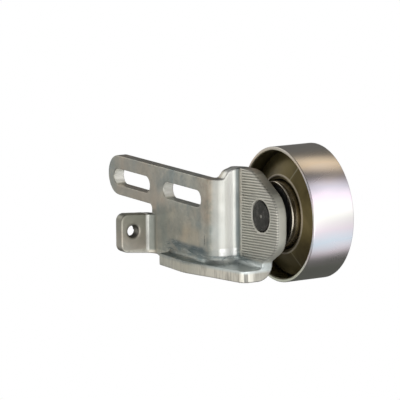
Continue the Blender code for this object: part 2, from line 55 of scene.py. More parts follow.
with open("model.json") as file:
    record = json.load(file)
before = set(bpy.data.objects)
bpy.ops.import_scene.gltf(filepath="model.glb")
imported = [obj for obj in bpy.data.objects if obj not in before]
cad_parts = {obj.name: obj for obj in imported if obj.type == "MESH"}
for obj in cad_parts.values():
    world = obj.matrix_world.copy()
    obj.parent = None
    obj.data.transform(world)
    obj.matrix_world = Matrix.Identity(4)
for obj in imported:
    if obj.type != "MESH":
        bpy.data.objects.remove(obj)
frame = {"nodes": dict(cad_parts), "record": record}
cad_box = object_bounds()
NODES = frame["nodes"]

# Places read from the CAD model
RIM_LOW, RIM_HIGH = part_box("pulley_rim")
WEB_LOW, WEB_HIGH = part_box("pulley_web")
RING_LOW, RING_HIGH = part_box("bearing_outer_ring")
INNER_LOW, INNER_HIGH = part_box("bearing_inner_ring")
PIN_LOW, PIN_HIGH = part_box("pivot_pin")
SEAL_LOW, SEAL_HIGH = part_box("seal_front")
REAR_SEAL_LOW, REAR_SEAL_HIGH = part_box("seal_rear")
WASHER_LOW, WASHER_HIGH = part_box("thrust_washer")
CLIP_LOW, CLIP_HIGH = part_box("retaining_ring")
AXIS_X = (PIN_LOW.x + PIN_HIGH.x) / 2.0
AXIS_Z = (PIN_LOW.z + PIN_HIGH.z) / 2.0
RIM_RADIUS = (RIM_HIGH.x - RIM_LOW.x) / 2.0
WEB_RADIUS = (WEB_HIGH.x - WEB_LOW.x) / 2.0
BEARING_RADIUS = (RING_HIGH.x - RING_LOW.x) / 2.0

# Sizes that the boxes don't give
GAP = 0.3 * MM
SHEET = 6.35 * MM
BORE_RADIUS = 7.5 * MM
PIN_HEAD_RADIUS = 8.0 * MM
PIN_PROUD = 0.2 * MM
RIB_FACE_Y = PIN_LOW.y + PIN_PROUD

# Rings of the bearing
BALL_CIRCLE_RADIUS = 12.5 * MM
TRACK_RADIUS = 3.275 * MM
TRACK_POINTS = 12
INNER_SHOULDER_RADIUS = 10.0 * MM
OUTER_SHOULDER_RADIUS = 15.0 * MM
OUTER_LIP_RADIUS = 15.6 * MM
SEAL_ROOM = 2.3 * MM
RING_CORNER = 0.6 * MM

# Serrated face of the bracket
RIB_START_X = 61.9 * MM
RIB_PITCH = 1.4 * MM
RIB_DEPTH = 0.42 * MM
RIB_HALF_WIDTH = 0.46 * MM
RIB_SLOPE = math.radians(4.0)
RIB_LOWEST, RIB_HIGHEST = -22.9 * MM, 20.1 * MM
RIB_RING_RADIUS = 9.3 * MM

# Threaded hole of the tab
TAB_MIDDLE = Vector((-6.775, -18.5, -23.1)) * MM
THREAD_PITCH = 1.25 * MM
THREAD_LENGTH = 5.0 * MM
THREAD_RADIUS = 3.5 * MM
THREAD_DEPTH = 0.55 * MM
THREAD_HALF_WIDTH = 0.46 * THREAD_PITCH
THREAD_STEPS = 32

# Fineness of the meshes
VOXEL = 0.35 * MM
EASE_ROUNDS = 9
RIB_CUTS = 2
SHARP_ANGLE = math.radians(32.0)

# View
VIEW_AZIMUTH = 59.17
VIEW_ELEVATION = 9.89
VIEW_ROLL = -0.42
VIEW_DISTANCE = 1.5344
VIEW_LENS = 270.0
VIEW_SENSOR = 36.0
VIEW_REACH = 20.0
VIEW_RIGHT = -30.98 * MM
VIEW_UP = 8.42 * MM

# Stage
DOME_RADIUS = 8.0
FLOOR_HALF_WIDTH = 6.0
FLOOR_DROP = 1.9


# ---------------------------------------------------------------- shapes

def corner_arc(before, at, after, radius, step_degrees):
    """Points of the arc that rounds the corner at one point between two others."""
    back = (before - at).normalized()
    ahead = (after - at).normalized()
    half = back.angle(ahead) / 2.0
    centre = at + (back + ahead).normalized() * radius / math.sin(half)
    first = at + back * radius / math.tan(half) - centre
    last = at + ahead * radius / math.tan(half) - centre
    turn = first.angle_signed(last)
    steps = max(2, round(math.degrees(abs(turn)) / step_degrees))
    spokes = [Matrix.Rotation(-turn * k / steps, 2) @ first for k in range(steps + 1)]
    return [tuple(centre + spoke) for spoke in spokes]


def rounded(corners, closed=True, step_degrees=6.0):
    """Polygon or polyline whose corners (x, y, radius) are replaced by tangent arcs."""
    points = []
    count = len(corners)
    for i, (x, y, radius) in enumerate(corners):
        if radius == 0.0 or (not closed and i in (0, count - 1)):
            points.append((x, y))
            continue
        before = Vector(corners[i - 1][:2])
        after = Vector(corners[(i + 1) % count][:2])
        points += corner_arc(before, Vector((x, y)), after, radius, step_degrees)
    return points


def link(name, mesh, body, material):
    """Add a finished mesh as a piece of the object."""
    piece = bpy.data.objects.new(name, mesh)
    bpy.context.scene.collection.objects.link(piece)
    mesh.materials.clear()
    mesh.materials.append(material)
    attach(piece, body)
    return piece


def applied(thing):
    """The thing's mesh with its modifiers applied; the thing itself is removed."""
    graph = bpy.context.evaluated_depsgraph_get()
    mesh = bpy.data.meshes.new_from_object(thing.evaluated_get(graph))
    bpy.data.objects.remove(thing)
    return mesh


def twice_area(profile):
    """Twice the signed area inside the (radius, y) points."""
    pairs = zip(profile, profile[1:] + profile[:1])
    return sum(r0 * y1 - r1 * y0 for (r0, y0), (r1, y1) in pairs)


def profile_object(name, profile, closed):
    """Object holding the profile as a line of edges, upright along Z."""
    edges = [(i, i + 1) for i in range(len(profile) - 1)]
    if closed:
        edges.append((len(profile) - 1, 0))
    mesh = bpy.data.meshes.new(name)
    mesh.from_pydata([(radius, 0.0, along) for radius, along in profile], edges, [])
    thing = bpy.data.objects.new(name, mesh)
    bpy.context.scene.collection.objects.link(thing)
    return thing


def add_screw(thing, steps):
    """Turn the thing's line once round the Z axis."""
    screw = thing.modifiers.new("turn", "SCREW")
    screw.angle = math.tau
    screw.steps = steps
    screw.render_steps = steps
    screw.use_merge_vertices = True
    screw.merge_threshold = 0.01 * MM


def add_thickness(thing, thickness):
    """Give the thing's turned surface a thickness."""
    shell = thing.modifiers.new("sheet", "SOLIDIFY")
    shell.thickness = thickness
    shell.offset = -1.0
    shell.use_even_offset = True


def turned_mesh(name, profile, steps, sheet=0.0):
    """Mesh turned about the pulley's axis from (radius, y) points.

    The points are a solid's outline, or with sheet an open line that gets that thickness.
    """
    solid = sheet == 0.0
    if solid and twice_area(profile) > 0.0:
        profile = profile[::-1]
    thing = profile_object(name, profile, closed=solid and profile[0][0] > 0.0)
    add_screw(thing, steps)
    if not solid:
        add_thickness(thing, sheet)
    made = applied(thing)
    made.name = name
    along_y = Matrix.Rotation(-math.pi / 2.0, 4, "X")
    made.transform(Matrix.Translation((AXIS_X, 0.0, AXIS_Z)) @ along_y)
    made.shade_smooth()
    made.set_sharp_from_angle(angle=SHARP_ANGLE)
    return made


# ---------------------------------------------------------------- node helpers

# The colour sockets of a Mix node, whose names aren't unique
MIX_FIRST, MIX_SECOND, MIX_RESULT = 6, 7, 2

# Nearly all of a noise lies between these values
NOISE_LOW, NOISE_HIGH = 0.3, 0.7


class Nodes:
    """Short ways to add nodes to one tree and to link them."""

    def __init__(self, tree):
        self.tree = tree

    def add(self, kind, **settings):
        """A new node with these settings."""
        node = self.tree.nodes.new(kind)
        for key, value in settings.items():
            setattr(node, key, value)
        return node

    def feed(self, source, socket):
        """Link a socket to another, or set it to a constant."""
        if isinstance(source, bpy.types.NodeSocket):
            self.tree.links.new(source, socket)
        elif isinstance(source, tuple) and len(socket.default_value) == 4:
            socket.default_value = (*source, 1.0)
        else:
            socket.default_value = source

    def place(self, scale=(1.0, 1.0, 1.0)):
        """Object coordinates, scaled."""
        coordinates = self.add("ShaderNodeTexCoord")
        mapping = self.add("ShaderNodeMapping")
        self.feed(coordinates.outputs["Object"], mapping.inputs["Vector"])
        self.feed(scale, mapping.inputs["Scale"])
        return mapping.outputs["Vector"]

    def split(self, vector):
        """The vector's three parts."""
        node = self.add("ShaderNodeSeparateXYZ")
        self.feed(vector, node.inputs[0])
        return node.outputs

    def noise(self, vector, scale, detail=3.0, roughness=0.5, distortion=0.0):
        """A noise with about scale features to the metre."""
        node = self.add("ShaderNodeTexNoise")
        self.feed(vector, node.inputs["Vector"])
        self.feed(scale, node.inputs["Scale"])
        self.feed(detail, node.inputs["Detail"])
        self.feed(roughness, node.inputs["Roughness"])
        self.feed(distortion, node.inputs["Distortion"])
        return node.outputs["Fac"]

    def ramp(self, value, stops):
        """The value turned into a colour by stops of (value, colour)."""
        node = self.add("ShaderNodeValToRGB")
        elements = node.color_ramp.elements
        while len(elements) < len(stops):
            elements.new(0.5)
        for element, (at, colour) in zip(elements, stops):
            element.position = at
            element.color = (*colour, 1.0)
        self.feed(value, node.inputs["Fac"])
        return node.outputs["Color"]

    def span(self, value, start, end, least, most, course="LINEAR"):
        """least where the value is at start, most where it is at end, and no further."""
        node = self.add("ShaderNodeMapRange", interpolation_type=course)
        self.feed(value, node.inputs["Value"])
        self.feed(start, node.inputs["From Min"])
        self.feed(end, node.inputs["From Max"])
        self.feed(least, node.inputs["To Min"])
        self.feed(most, node.inputs["To Max"])
        return node.outputs["Result"]

    def vary(self, noise, low, high):
        """The noise stretched to run from low to high."""
        return self.span(noise, NOISE_LOW, NOISE_HIGH, low, high)

    def patches(self, noise, start, full, most):
        """0 until the noise passes start, and most once it has reached full."""
        return self.span(noise, start, full, 0.0, most)

    def rise(self, value, start, end, most=1.0, least=0.0):
        """As span, with start and end in millimetres, in either order."""
        return self.span(value, start * MM, end * MM, least, most)

    def within(self, value, start, full, still_full, end):
        """1 between the two middle places and 0 outside the outer two, in millimetres."""
        return self.times(self.rise(value, start, full), self.rise(value, end, still_full))

    def maths(self, operation, first, second=0.0):
        """The result of one operation on numbers."""
        node = self.add("ShaderNodeMath", operation=operation)
        self.feed(first, node.inputs[0])
        self.feed(second, node.inputs[1])
        return node.outputs[0]

    def times(self, *factors):
        """The product of all factors."""
        product = factors[0]
        for factor in factors[1:]:
            product = self.maths("MULTIPLY", product, factor)
        return product

    def plus(self, first, second):
        """The sum of two numbers."""
        return self.maths("ADD", first, second)

    def length(self, first, second):
        """The length of the line that goes this far in two square directions."""
        return self.maths("SQRT", self.plus(self.times(first, first), self.times(second, second)))

    def mix(self, factor, first, second):
        """The first colour at factor 0, the second at factor 1."""
        node = self.add("ShaderNodeMix", data_type="RGBA", blend_type="MIX")
        self.feed(factor, node.inputs[0])
        self.feed(first, node.inputs[MIX_FIRST])
        self.feed(second, node.inputs[MIX_SECOND])
        return node.outputs[MIX_RESULT]

    def bump(self, height, strength, depth, normal=None):
        """The normal, roughened by a height that is depth millimetres deep."""
        node = self.add("ShaderNodeBump")
        self.feed(strength, node.inputs["Strength"])
        self.feed(depth * MM, node.inputs["Distance"])
        self.feed(height, node.inputs["Height"])
        if normal is not None:
            self.feed(normal, node.inputs["Normal"])
        return node.outputs["Normal"]

    def from_axis(self, at):
        """Offsets across and up from the pulley's axis, and the distance to it."""
        x, _, z = self.split(at)
        across = self.plus(x, -AXIS_X)
        up = self.plus(z, -AXIS_Z)
        return across, up, self.length(across, up)


class Finish(Nodes):
    """The nodes of one new material."""

    def __init__(self, name):
        self.material = bpy.data.materials.new(name)
        self.material.use_nodes = True
        super().__init__(self.material.node_tree)

    def done(self, **inputs):
        """Feed the shader's inputs and return the material."""
        shader = self.tree.nodes["Principled BSDF"]
        for key, source in inputs.items():
            self.feed(source, shader.inputs[key.replace("_", " ")])
        return self.material


# ---------------------------------------------------------------- the bracket's zinc

# Scales that draw a noise out along one axis
UPRIGHT = (1.0, 1.0, 0.45)
UPRIGHT_LINES = (1.0, 1.0, 0.12)
SIDEWAYS = (0.6, 1.0, 1.3)
SIDEWAYS_LINES = (0.35, 1.0, 1.7)

# Colours: the zinc's own tones and marks, and painted highlights and shade
ZINC = [
    (0.30, (0.36, 0.375, 0.345)),
    (0.52, (0.46, 0.455, 0.41)),
    (0.75, (0.56, 0.55, 0.49)),
]
BLUE_SMEAR = (0.27, 0.34, 0.37)
STRAW = (0.54, 0.45, 0.36)
PALE_SPECKLE = (0.62, 0.62, 0.56)
DARK_SPECKLE = (0.27, 0.28, 0.26)
DARK_BLOTCH = (0.27, 0.30, 0.28)
PALE_BLOTCH = (0.60, 0.58, 0.50)
ARM_STRAW = (0.49, 0.42, 0.35)
WALL_STRAW = (0.58, 0.50, 0.38)
TAB_BLUE = (0.25, 0.31, 0.32)
SCRATCH = (0.16, 0.16, 0.15)
SHEARED = (0.72, 0.71, 0.63)
ARM_EDGE = (0.92, 0.91, 0.85)
LIP_HIGHLIGHT = (0.92, 0.89, 0.81)
LIP_SHADE_PAST_CORNER = (0.42, 0.40, 0.35)
LIP_CORNER_DARK_REFLECTION = (0.17, 0.167, 0.155)
SHEAR_MARK = (0.38, 0.36, 0.32)
STEP_SHADE = (0.47, 0.48, 0.46)
STEP_HIGHLIGHT = (0.86, 0.87, 0.835)
STEP_RIDGE_HIGHLIGHT = (1.0, 1.0, 0.98)
CREASE_SHADE = (0.15, 0.175, 0.18)
TAB_TOP_SHADE = (0.235, 0.25, 0.215)
TAB_BEND_HIGHLIGHT = (1.0, 1.0, 0.97)
TAB_BEND_SHADE = (0.19, 0.215, 0.20)
RIBBED = (0.70, 0.68, 0.62)
GROOVE_SHADE = (0.20, 0.20, 0.18)
SHELF_LIGHT = (0.84, 0.90, 0.90)
STAIN = (0.20, 0.255, 0.275)
STAIN_LINE = (0.13, 0.17, 0.19)
PALE_STREAK = (0.66, 0.70, 0.68)
DARK_STREAK = (0.10, 0.14, 0.16)
FOOT_STREAK = (0.10, 0.135, 0.15)
RUBBED_HIGHLIGHT = (1.0, 1.0, 0.99)
THREAD_SHADE = (0.06, 0.06, 0.055)

# Regions in millimetres along one axis: start, full, still full, end
ARM_X = (-48.0, -40.0, -2.0, 10.0)
WALL_STRAW_X = (24.0, 29.0, 43.0, 46.0)
BESIDE_TAB_X = (-1.0, 1.0, 7.0, 13.0)
SCRATCH_X = (48.9, 49.2, 49.6, 49.9)
SCRATCH_Z = (-24.0, -22.5, -19.0, -17.5)
STEP_X = (53.5, 55.0, 59.2, 60.0)
STEP_RIDGE_Y = (2.4, 3.6, 5.4, 6.4)
CREASE_X = (58.2, 59.0, 60.0, 61.2)
TAB_Z = (-34.5, -33.5, -12.5, -11.5)
TAB_BEND_HIGHLIGHT_Y = (-11.2, -10.4, -9.4, -8.6)
TAB_BEND_SHADE_Y = (-9.4, -8.8, -6.6, -6.0)
SHELF_Z = (-34.5, -33.0, -30.0, -28.5)
ROOT_Z = (-34.5, -32.5, -28.5, -24.0)
STAIN_LINE_Z = (-28.8, -27.4, -26.0, -24.6)
FOOT_X = (48.0, 53.0, 66.0, 76.0)
FOOT_Z = (-30.6, -29.8, -28.8, -28.2)
RUBBED_HIGHLIGHT_X = (56.4, 57.2, 58.5, 59.2)
RUBBED_HIGHLIGHT_Z = (-29.0, -28.2, -25.2, -24.3)


class PlatePaint:
    """The bracket's zinc, mottled first and then painted region by region, with painted highlights
    and shade among the regions.
    """

    def __init__(self, nodes):
        self.n = n = nodes
        self.at = n.place()
        self.x, self.y, self.z = n.split(self.at)
        normal = n.add("ShaderNodeTexCoord").outputs["Normal"]
        self.normal_x, self.normal_y, self.normal_z = n.split(normal)
        self.cloud = n.noise(self.at, 45.0, detail=5.0, roughness=0.6, distortion=0.6)
        self.smear = n.noise(n.place(UPRIGHT), 90.0, detail=5.0, roughness=0.70, distortion=0.35)
        self.straw = n.noise(self.at, 28.0, detail=2.0, distortion=0.8)
        self.ragged = n.noise(
            n.place(SIDEWAYS_LINES), 210.0, detail=6.0, roughness=0.72, distortion=1.6,
        )
        self.sheared = self.find_sheared()
        self.lip = n.rise(self.z, -32.7, -33.3)
        self.root = n.times(n.within(self.z, *ROOT_Z), n.rise(self.x, 2.0, 10.0))
        self.rubbed_highlight = n.times(n.within(self.z, *RUBBED_HIGHLIGHT_Z), n.within(self.x, *RUBBED_HIGHLIGHT_X))
        self.colour = n.ramp(self.cloud, ZINC)

    def find_sheared(self):
        """Mask of the sheared edges, which face neither along Y nor straight up, the tab's aside."""
        n = self.n
        sideways = n.span(n.maths("ABSOLUTE", self.normal_y), 0.15, 0.50, 1.0, 0.0)
        not_top = n.span(self.normal_z, 0.78, 0.95, 1.0, 0.0)
        return n.times(sideways, not_top, n.rise(self.y, -7.8, -7.0))

    def paint(self, colour, *masks):
        """Lay a colour over the plate where every mask is open; a plain number is a strength."""
        self.colour = self.n.mix(self.n.times(*masks), self.colour, colour)

    def mottle(self):
        """Blue smears, straw patches, speckles and blotches all over."""
        n = self.n
        speckle = n.noise(self.at, 260.0, detail=4.0, roughness=0.65, distortion=0.4)
        blotch = n.noise(self.at, 115.0, detail=6.0, roughness=0.72, distortion=0.2)
        self.paint(BLUE_SMEAR, n.patches(self.smear, 0.48, 0.68, 0.62))
        self.paint(STRAW, n.patches(self.straw, 0.52, 0.68, 0.60))
        self.paint(PALE_SPECKLE, n.patches(speckle, 0.54, 0.68, 0.35))
        self.paint(DARK_SPECKLE, n.patches(speckle, 0.44, 0.34, 0.35))
        self.paint(DARK_BLOTCH, n.patches(blotch, 0.52, 0.66, 0.55))
        self.paint(PALE_BLOTCH, n.patches(blotch, 0.48, 0.35, 0.65))

    def tint(self):
        """Straw on the slotted arm and low on the wall, blue beside the tab."""
        n = self.n
        self.paint(ARM_STRAW, n.within(self.x, *ARM_X), n.span(self.straw, 0.35, 0.60, 0.15, 0.60))
        low_wall = n.times(n.within(self.x, *WALL_STRAW_X), n.rise(self.z, -14.0, -18.0))
        self.paint(WALL_STRAW, low_wall, n.span(self.straw, 0.3, 0.6, 0.25, 0.50))
        beside_tab = n.times(n.within(self.x, *BESIDE_TAB_X), n.rise(self.z, -6.0, -11.0))
        self.paint(TAB_BLUE, beside_tab, n.span(self.smear, 0.3, 0.6, 0.20, 0.65))

    def scratch(self):
        """A short dark scratch low on the wall."""
        n = self.n
        place = n.times(n.within(self.x, *SCRATCH_X), n.within(self.z, *SCRATCH_Z))
        self.paint(SCRATCH, place, n.span(self.ragged, 0.40, 0.55, 0.3, 0.8))

    def edges(self):
        """Sheared edges are paler, most of all on the slotted arm."""
        n = self.n
        lip = n.times(self.lip, n.rise(self.x, 35.0, 55.0, least=0.62, most=0.95))
        bare = n.maths("MAXIMUM", self.sheared, lip)
        self.paint(SHEARED, bare, n.vary(self.cloud, 0.60, 0.90))
        self.paint(ARM_EDGE, self.sheared, n.rise(self.x, 50.0, 45.0, most=0.8))

    def flange_lip(self):
        """The flange's cut edge: a painted highlight towards its corner, painted shade past the
        corner, a dark painted reflection band on the corner, and shear marks.
        """
        n = self.n
        # Painted highlight: the lip turns near white towards its corner.
        self.paint(LIP_HIGHLIGHT, self.lip, n.rise(self.x, 40.0, 60.0, most=0.85))
        past_corner = n.times(n.rise(self.x, 80.5, 81.5), n.rise(self.y, 2.6, 4.6))
        # Painted shade on the lip past the corner.
        self.paint(LIP_SHADE_PAST_CORNER, self.lip, past_corner, 0.75)
        # Painted dark reflection band where the corner turns.
        turning = n.span(self.normal_x, 0.74, 0.82, 0.0, 1.0)
        not_turned = n.span(self.normal_x, 0.955, 0.98, 1.0, 0.0)
        corner = n.times(turning, not_turned, n.rise(self.x, 77.0, 79.0, most=0.90))
        self.paint(LIP_CORNER_DARK_REFLECTION, self.lip, corner)
        marks = n.noise(n.place(UPRIGHT_LINES), 650.0, roughness=0.6)
        self.paint(SHEAR_MARK, self.lip, n.patches(marks, 0.50, 0.66, 0.55))

    def step(self):
        """The step, painted from shade to highlight towards the ribbed plate, with a painted
        highlight along its ridge.
        """
        n = self.n
        height = n.rise(self.z, -30.0, -28.5)
        face = n.times(n.within(self.x, *STEP_X), height, n.vary(self.cloud, 0.65, 0.85))
        # Painted shade rising to a painted highlight across the bend.
        self.paint(n.mix(n.rise(self.y, -2.2, 2.0), STEP_SHADE, STEP_HIGHLIGHT), face)
        # Painted highlight along the ridge.
        self.paint(STEP_RIDGE_HIGHLIGHT, face, n.within(self.y, *STEP_RIDGE_Y))

    def tab(self):
        """Painted shade darkens the tab towards its top; its bend has a painted highlight line with
        a painted shade band beside it.
        """
        n = self.n
        height = n.within(self.z, *TAB_Z)
        front = n.times(n.rise(self.y, -8.0, -10.5), n.rise(self.x, 0.0, -1.5))
        shade = n.times(n.rise(self.z, -34.5, -33.5), n.rise(self.z, -31.0, -13.0, most=0.72))
        # Painted shade, darker towards the tab's top.
        self.paint(TAB_TOP_SHADE, front, shade)
        line = n.times(n.within(self.y, *TAB_BEND_HIGHLIGHT_Y), n.rise(self.x, -1.0, -2.0))
        # Painted highlight line on the bend.
        self.paint(TAB_BEND_HIGHLIGHT, line, height, 0.9)
        band = n.times(n.within(self.y, *TAB_BEND_SHADE_Y), n.rise(self.x, 0.4, -0.6))
        # Painted shade band beside the highlight line.
        self.paint(TAB_BEND_SHADE, band, height, 0.8)

    def ribbed_face(self):
        """The front of the ribbed plate is pale."""
        n = self.n
        face_y = RIB_FACE_Y / MM
        front = n.rise(self.y, face_y + 2.2, face_y + 1.2)
        self.paint(RIBBED, n.rise(self.x, 60.5, 62.5), n.rise(self.z, -30.0, -26.0), front, 0.85)

    def grooves(self):
        """Painted shade in the serrations, in the same places as carve_ribs cuts them."""
        n = self.n
        face_y = RIB_FACE_Y / MM
        start_x, ring, lowest = RIB_START_X / MM, RIB_RING_RADIUS / MM, RIB_LOWEST / MM
        across, up, radius = n.from_axis(self.at)
        row = n.plus(n.times(up, math.cos(RIB_SLOPE)), n.times(across, -math.sin(RIB_SLOPE)))
        away = n.maths("PINGPONG", row, RIB_PITCH / 2.0)
        groove = n.rise(away, RIB_HALF_WIDTH / MM + 0.04, 0.22)
        begun = n.rise(self.x, start_x, start_x + 0.4)
        spared = n.rise(radius, ring, ring + 0.4)
        inside = n.rise(row, lowest, lowest + 0.3)
        front = n.within(self.y, face_y - 0.5, face_y - 0.2, face_y + 1.2, face_y + 1.8)
        # Painted shade in the grooves.
        self.paint(GROOVE_SHADE, groove, begun, spared, front, inside, 0.62)

    def crease(self):
        """Painted shade in the crease where the step meets the ribbed plate."""
        n = self.n
        band = n.times(n.within(self.x, *CREASE_X), n.rise(self.y, 4.0, 5.4))
        # Painted shade along the crease.
        self.paint(CREASE_SHADE, band, n.vary(self.smear, 0.75, 1.0))

    def root_stain(self):
        """Painted light on the flange's root, the blue-grey stain on it, and a darker line above it.
        """
        n = self.n
        blot = n.noise(n.place(SIDEWAYS), 85.0, detail=5.0, roughness=0.62, distortion=0.7)
        # Painted light: the flange near the step turns near white.
        self.paint(SHELF_LIGHT, n.within(self.z, *SHELF_Z), n.rise(self.x, 52.0, 64.0, most=0.92))
        course = n.times(n.rise(self.x, 8.0, 20.0), n.rise(self.x, 65.0, 45.0, least=0.22))
        self.paint(STAIN, self.root, course, n.span(blot, 0.38, 0.60, 0.15, 0.85))
        line = n.times(n.rise(self.x, 12.0, 17.0), n.rise(self.x, 54.0, 47.0))
        above = n.within(self.z, *STAIN_LINE_Z)
        self.paint(STAIN_LINE, above, line, n.span(blot, 0.36, 0.56, 0.25, 0.85))

    def root_streaks(self):
        """Pale and dark streaks through the stain, and dark ones at the foot of the step."""
        n = self.n
        self.paint(PALE_STREAK, self.root, n.patches(self.ragged, 0.56, 0.64, 0.75))
        fading = n.rise(self.x, 72.0, 60.0, least=0.40)
        self.paint(DARK_STREAK, self.root, fading, n.patches(self.ragged, 0.44, 0.37, 0.70))
        foot = n.times(n.within(self.z, *FOOT_Z), n.within(self.x, *FOOT_X))
        self.paint(FOOT_STREAK, foot, n.span(self.ragged, 0.60, 0.44, 0.10, 0.65))

    def rub_and_highlight(self):
        """A white patch low on the step: metal polished by rubbing, with a painted highlight on it.
        """
        # Partly polished metal, partly a painted highlight.
        self.paint(RUBBED_HIGHLIGHT, self.rubbed_highlight, self.n.span(self.ragged, 0.35, 0.55, 0.6, 1.0))

    def thread(self):
        """The threaded hole is darker."""
        n = self.n
        radius = n.length(n.plus(self.y, -TAB_MIDDLE.y), n.plus(self.z, -TAB_MIDDLE.z))
        self.paint(THREAD_SHADE, n.rise(radius, 3.6, 3.45), n.rise(self.x, -1.0, -2.0), 0.70)


def zinc_plate():
    """Satin zinc of the bracket with painted highlights and shade, less metallic where it is sheared
    and on the patch that rubbing has polished.
    """
    n = Finish("zinc plate")
    plate = PlatePaint(n)
    steps = (
        plate.mottle, plate.tint, plate.scratch, plate.edges, plate.flange_lip, plate.step,
        plate.tab, plate.ribbed_face, plate.grooves, plate.crease, plate.root_stain,
        plate.root_streaks, plate.rub_and_highlight, plate.thread,
    )
    for step in steps:
        step()
    patch = n.noise(plate.at, 160.0, detail=4.0, roughness=0.6)
    fine = n.noise(plate.at, 1500.0, roughness=0.6)
    rough = n.plus(n.vary(patch, 0.38, 0.50), n.times(plate.sheared, 0.06))
    bare = n.maths("MAXIMUM", plate.sheared, plate.rubbed_highlight)
    return n.done(
        Base_Color=plate.colour,
        Roughness=n.plus(rough, n.times(plate.rubbed_highlight, -0.10)),
        Metallic=n.span(bare, 0.0, 1.0, 0.92, 0.50),
        Normal=n.bump(patch, 0.30, 0.22, n.bump(fine, 0.25, 0.06)),
    )


# ---------------------------------------------------------------- the other materials

# Scales that draw a noise out into lines around a turned piece
TURNED_LINES = (0.03, 1.0, 0.03)
FINE_TURNED_LINES = (0.02, 1.0, 0.02)

# The rim's colours from its lowest to its highest point at rest
RAINBOW = [
    (0.00, (0.66, 0.68, 0.58)),
    (0.17, (0.70, 0.70, 0.62)),
    (0.26, (0.80, 0.70, 0.74)),
    (0.36, (0.70, 0.76, 0.84)),
    (0.45, (0.82, 0.74, 0.80)),
    (0.56, (0.84, 0.83, 0.80)),
    (0.68, (0.84, 0.72, 0.81)),
    (0.76, (0.70, 0.69, 0.76)),
    (0.88, (0.86, 0.72, 0.58)),
    (1.00, (0.66, 0.62, 0.56)),
]
RAINBOW_WANDER = 2.5 * MM
RIM_OLIVE = [(0.3, (0.42, 0.40, 0.29)), (0.7, (0.54, 0.51, 0.38))]

WEB_OLIVE = [
    (0.30, (0.096, 0.076, 0.034)),
    (0.55, (0.140, 0.111, 0.048)),
    (0.75, (0.185, 0.145, 0.066)),
]
WEB_HIGHLIGHT_LINE = (0.62, 0.60, 0.48)
WEB_HIGHLIGHT_LINE_ANGLES = (math.radians(66.0), math.radians(-63.0))
WEB_CREST_HIGHLIGHT = (0.62, 0.55, 0.45)
WEB_CREST_HIGHLIGHT_RADII = (19.4, 20.0, 20.3, 20.9)

PIN_DARK = [
    (0.34, (0.026, 0.026, 0.024)),
    (0.50, (0.052, 0.051, 0.047)),
    (0.66, (0.120, 0.117, 0.110)),
]
PIN_PALE_CENTRE = (0.55, 0.54, 0.50)
GROUND_STEEL = [(0.3, (0.48, 0.43, 0.36)), (0.7, (0.66, 0.61, 0.53))]
PRESSED_STEEL = [(0.3, (0.36, 0.35, 0.33)), (0.7, (0.50, 0.49, 0.47))]
BLACK_RUBBER = [(0.3, (0.008, 0.008, 0.008)), (0.7, (0.018, 0.018, 0.017))]


def rim_zinc():
    """Bright belt face with turning lines and rainbow bands laid by height at rest; olive inside."""
    n = Finish("rim zinc")
    at = n.place()
    _, up, radius = n.from_axis(at)
    wander = n.noise(n.place((1.0, 0.3, 1.0)), 60.0, roughness=0.55, distortion=0.4)
    height = n.plus(up, n.vary(wander, -RAINBOW_WANDER, RAINBOW_WANDER))
    bands = n.ramp(n.span(height, -RIM_RADIUS, RIM_RADIUS, 0.0, 1.0), RAINBOW)
    olive = n.ramp(n.noise(at, 70.0, detail=4.0, roughness=0.6), RIM_OLIVE)
    outside = n.rise(radius, RIM_RADIUS / MM - 1.7, RIM_RADIUS / MM - 1.2)
    lines = n.noise(n.place(FINE_TURNED_LINES), 5200.0, detail=2.0)
    return n.done(
        Base_Color=n.mix(outside, olive, bands),
        Roughness=n.vary(wander, 0.24, 0.33),
        Normal=n.bump(lines, 0.14, 0.03),
        Metallic=1.0,
    )


def web_passivated():
    """Mottled olive passivation, with two faint painted reflection lines along the cone and a
    painted highlight on the crest.
    """
    n = Finish("web passivated")
    at = n.place()
    across, up, radius = n.from_axis(at)
    cloud = n.noise(at, 60.0, detail=4.0, roughness=0.6, distortion=0.8)
    colour = n.ramp(cloud, WEB_OLIVE)
    turn = n.maths("ARCTAN2", up, across)
    # Painted reflection lines along the cone.
    for angle in WEB_HIGHLIGHT_LINE_ANGLES:
        away = n.maths("ABSOLUTE", n.plus(turn, -angle))
        colour = n.mix(n.span(away, 0.004, 0.026, 0.22, 0.0), colour, WEB_HIGHLIGHT_LINE)
    # Painted highlight on the hub's crest.
    crest_highlight = n.times(n.within(radius, *WEB_CREST_HIGHLIGHT_RADII), 0.8)
    return n.done(
        Base_Color=n.mix(crest_highlight, colour, WEB_CREST_HIGHLIGHT),
        Roughness=n.vary(cloud, 0.34, 0.48),
        Normal=n.bump(n.noise(at, 900.0, roughness=0.6), 0.2, 0.06),
        Metallic=0.85,
    )


def dark_steel():
    """Dark pin end, blotched and rough, paler in its centre dimple."""
    n = Finish("dark steel")
    at = n.place()
    _, _, radius = n.from_axis(at)
    cloud = n.noise(at, 330.0, detail=5.0, roughness=0.7)
    pale_centre = n.rise(radius, 1.1, 0.45, most=0.75)
    return n.done(
        Base_Color=n.mix(pale_centre, n.ramp(cloud, PIN_DARK), PIN_PALE_CENTRE),
        Roughness=n.vary(cloud, 0.42, 0.60),
        Normal=n.bump(n.noise(at, 1500.0, roughness=0.6), 0.3, 0.06),
        Metallic=0.75,
    )


def bearing_steel():
    """Ground steel with turning lines and a warm tint."""
    n = Finish("bearing steel")
    lines = n.noise(n.place(TURNED_LINES), 4200.0, detail=2.0)
    cloud = n.noise(n.place(), 120.0)
    return n.done(
        Base_Color=n.ramp(cloud, GROUND_STEEL),
        Roughness=n.vary(cloud, 0.18, 0.28),
        Normal=n.bump(lines, 0.08, 0.03),
        Metallic=1.0,
    )


